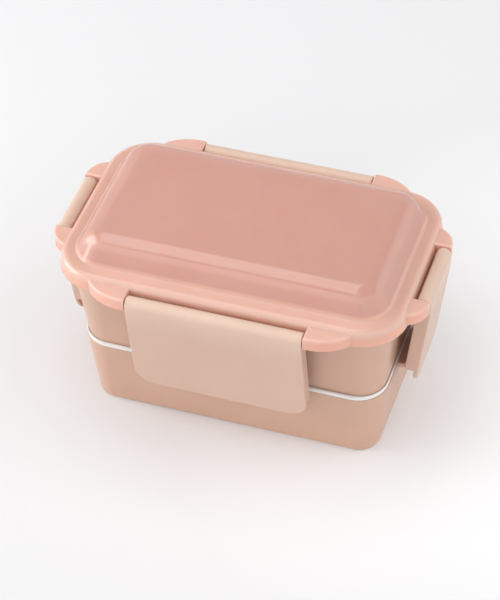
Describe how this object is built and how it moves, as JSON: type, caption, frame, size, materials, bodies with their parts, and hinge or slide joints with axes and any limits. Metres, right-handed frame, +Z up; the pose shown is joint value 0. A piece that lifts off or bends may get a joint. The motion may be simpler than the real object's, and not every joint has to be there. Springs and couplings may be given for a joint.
{
  "type": "bento lunch box",
  "caption": "Two-tier bento lunch box with a translucent domed lid held down by hinged side latches, a white inner lid between the tiers and a loose divider.",
  "frame": {"origin": "centre of the flat base, on the surface that the box stands on", "axes": "+X along the box's length, -Y towards the front long latch, +Z up"},
  "size_m": [0.1764, 0.1134, 0.0998],
  "materials": {
    "lid": "translucent glossy moulded plastic, rosy pink",
    "latch": "opaque satin moulded plastic, warm pink beige",
    "tier": "opaque satin moulded plastic, peach beige",
    "inner_lid": "opaque white moulded plastic",
    "divider": "thin off-white moulded plastic",
    "gasket": "soft translucent white silicone"
  },
  "bodies": {
    "lower_tier": {"lower_tier": "tier"},
    "inner_lid": {"inner_lid": "inner_lid", "inner_lid_gasket": "gasket"},
    "upper_tier": {"upper_tier": "tier"},
    "divider": {"divider": "divider"},
    "lid": {"lid_shell": "lid", "lid_gasket": "gasket"},
    "latch_front": {"latch_front": "latch"},
    "latch_right": {"latch_right": "latch"},
    "latch_back": {"latch_back": "latch"},
    "latch_left": {"latch_left": "latch"}
  },
  "joints": [
    {"name": "inner_lid_lift", "type": "slide", "parent": "lower_tier", "child": "inner_lid", "axis": [0, 0, 1], "range_m": [0, 0.06]},
    {"name": "upper_tier_lift", "type": "slide", "parent": "inner_lid", "child": "upper_tier", "axis": [0, 0, 1], "range_m": [0, 0.08]},
    {"name": "divider_slide", "type": "slide", "parent": "upper_tier", "child": "divider", "axis": [1, 0, 0], "range_m": [-0.07, 0.03]},
    {"name": "lid_lift", "type": "slide", "parent": "upper_tier", "child": "lid", "axis": [0, 0, 1], "range_m": [0, 0.11]},
    {"name": "latch_front_hinge", "type": "hinge", "parent": "lid", "child": "latch_front", "pos_m": [0, -0.05335, 0.0823], "axis": [-1, 0, 0], "range_deg": [0, 120]},
    {"name": "latch_right_hinge", "type": "hinge", "parent": "lid", "child": "latch_right", "pos_m": [0.0848, 0, 0.0823], "axis": [0, -1, 0], "range_deg": [0, 120]},
    {"name": "latch_back_hinge", "type": "hinge", "parent": "lid", "child": "latch_back", "pos_m": [0, 0.05335, 0.0823], "axis": [1, 0, 0], "range_deg": [0, 120]},
    {"name": "latch_left_hinge", "type": "hinge", "parent": "lid", "child": "latch_left", "pos_m": [-0.0848, 0, 0.0823], "axis": [0, 1, 0], "range_deg": [0, 120]}
  ]
}
